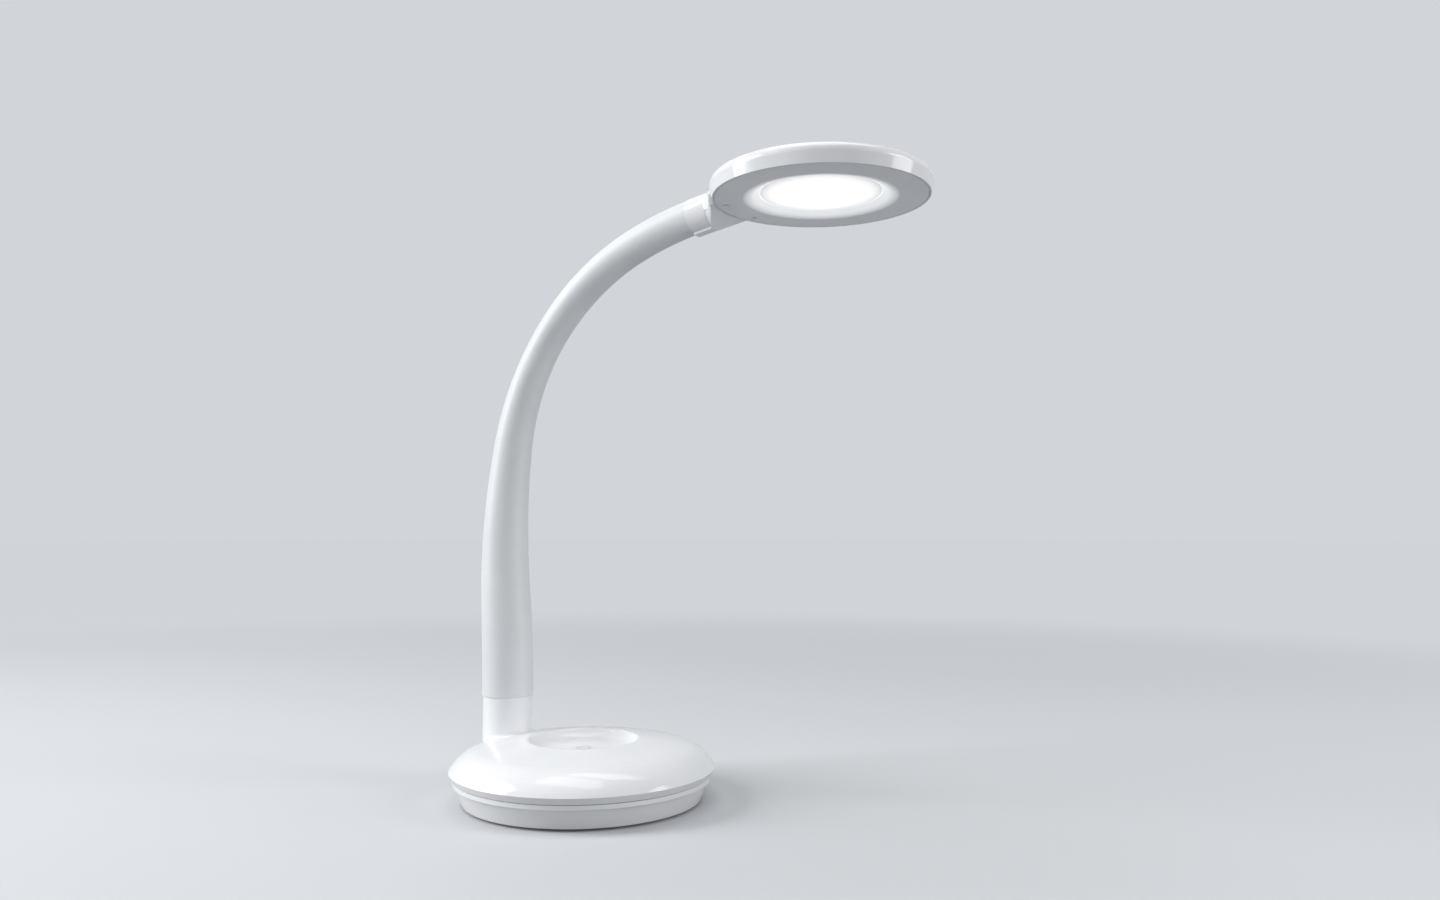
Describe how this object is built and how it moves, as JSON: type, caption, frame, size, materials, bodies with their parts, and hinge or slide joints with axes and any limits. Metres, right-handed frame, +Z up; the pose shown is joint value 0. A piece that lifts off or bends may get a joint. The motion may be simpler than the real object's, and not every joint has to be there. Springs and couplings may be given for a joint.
{
  "type": "desk lamp",
  "caption": "Gooseneck desk lamp: round weighted base with a touch dish, bendable arm in a tapering soft sleeve, and a flat round LED head with a recessed diffuser.",
  "frame": {"origin": "middle of the foot pad's underside, on the surface the lamp stands on", "axes": "+Z up; +X from the stem side of the base towards the head; the lamp is symmetric about the XZ plane, apart from small parts inside the base"},
  "size_m": [0.2861, 0.15, 0.3369],
  "materials": {
    "white_abs_gloss": "glossy injection-moulded white",
    "white_abs_satin": "fine satin white",
    "sleeve_white": "soft satin white silicone",
    "core_steel": "wound steel, dull",
    "screw_steel": "plain zinc-plated",
    "ballast_iron": "rough cast",
    "foot_foam": "dark matt",
    "circuit_board": "green lacquered board",
    "board_part_black": "matt black",
    "touch_copper": "bare copper foil",
    "inlet_black": "matt black",
    "inlet_brass": "plain turned",
    "lead_insulation": "smooth pale insulation",
    "opal_diffuser": "opal, lit from behind",
    "board_aluminium": "white-lacquered board and plain sheet",
    "led_yellow": "phosphor face"
  },
  "bodies": {
    "base": {"base_cover": "white_abs_gloss", "base_tray": "white_abs_gloss", "foot_pad": "foot_foam", "ballast_plate": "ballast_iron", "base_screws": "screw_steel", "control_board": "circuit_board", "board_parts": "board_part_black", "board_screws": "screw_steel", "touch_plate": "touch_copper", "touch_contact": "touch_copper", "power_inlet": "inlet_black", "inlet_pin": "inlet_brass", "arm_anchor": "screw_steel", "anchor_nut": "inlet_brass", "supply_lead": "lead_insulation", "sleeve_0": "sleeve_white", "core_0": "core_steel", "lead_0": "lead_insulation"},
    "link_1": {"sleeve_1": "sleeve_white", "core_1": "core_steel", "lead_1": "lead_insulation"},
    "link_2": {"sleeve_2": "sleeve_white", "core_2": "core_steel", "lead_2": "lead_insulation"},
    "link_3": {"sleeve_3": "sleeve_white", "core_3": "core_steel", "lead_3": "lead_insulation"},
    "link_4": {"sleeve_4": "sleeve_white", "core_4": "core_steel", "lead_4": "lead_insulation"},
    "link_5": {"sleeve_5": "sleeve_white", "core_5": "core_steel", "lead_5": "lead_insulation"},
    "link_6": {"sleeve_6": "sleeve_white", "core_6": "core_steel", "lead_6": "lead_insulation"},
    "link_7": {"sleeve_7": "sleeve_white", "core_7": "core_steel", "lead_7": "lead_insulation"},
    "link_8": {"sleeve_8": "sleeve_white", "core_8": "core_steel", "lead_8": "lead_insulation"},
    "head": {"head_cover": "white_abs_gloss", "neck_cover": "white_abs_gloss", "head_bezel": "white_abs_satin", "diffuser": "opal_diffuser", "led_board": "board_aluminium", "heat_spreader": "board_aluminium", "led_chips": "led_yellow", "led_screws": "screw_steel", "head_screws": "screw_steel", "neck_clamp": "inlet_brass", "clamp_screw": "screw_steel", "sleeve_9": "sleeve_white", "core_9": "core_steel", "lead_9": "lead_insulation"}
  },
  "joints": [
    {"name": "bend_1", "type": "hinge", "parent": "base", "child": "link_1", "pos_m": [-0.05875, 0, 0.07246], "axis": [0, 1, 0], "range_deg": [-15, 10]},
    {"name": "sway_2", "type": "hinge", "parent": "link_1", "child": "link_2", "pos_m": [-0.06072, 0, 0.11033], "axis": [0.9972, 0, 0.0744], "range_deg": [-15, 15]},
    {"name": "bend_3", "type": "hinge", "parent": "link_2", "child": "link_3", "pos_m": [-0.06164, 0, 0.14822], "axis": [0, 1, 0], "range_deg": [-15, 10]},
    {"name": "bend_4", "type": "hinge", "parent": "link_3", "child": "link_4", "pos_m": [-0.05878, 0, 0.18602], "axis": [0, 1, 0], "range_deg": [-15, 10]},
    {"name": "sway_5", "type": "hinge", "parent": "link_4", "child": "link_5", "pos_m": [-0.05128, 0, 0.22313], "axis": [0.9513, 0, -0.3082], "range_deg": [-15, 15]},
    {"name": "bend_6", "type": "hinge", "parent": "link_5", "child": "link_6", "pos_m": [-0.03504, 0, 0.25728], "axis": [0, 1, 0], "range_deg": [-15, 10]},
    {"name": "bend_7", "type": "hinge", "parent": "link_6", "child": "link_7", "pos_m": [-0.01054, 0, 0.28608], "axis": [0, 1, 0], "range_deg": [-15, 10]},
    {"name": "sway_8", "type": "hinge", "parent": "link_7", "child": "link_8", "pos_m": [0.02058, 0, 0.30757], "axis": [0.4563, 0, -0.8898], "range_deg": [-15, 15]},
    {"name": "bend_9", "type": "hinge", "parent": "link_8", "child": "head", "pos_m": [0.05603, 0, 0.32083], "axis": [0, 1, 0], "range_deg": [-15, 10]}
  ]
}
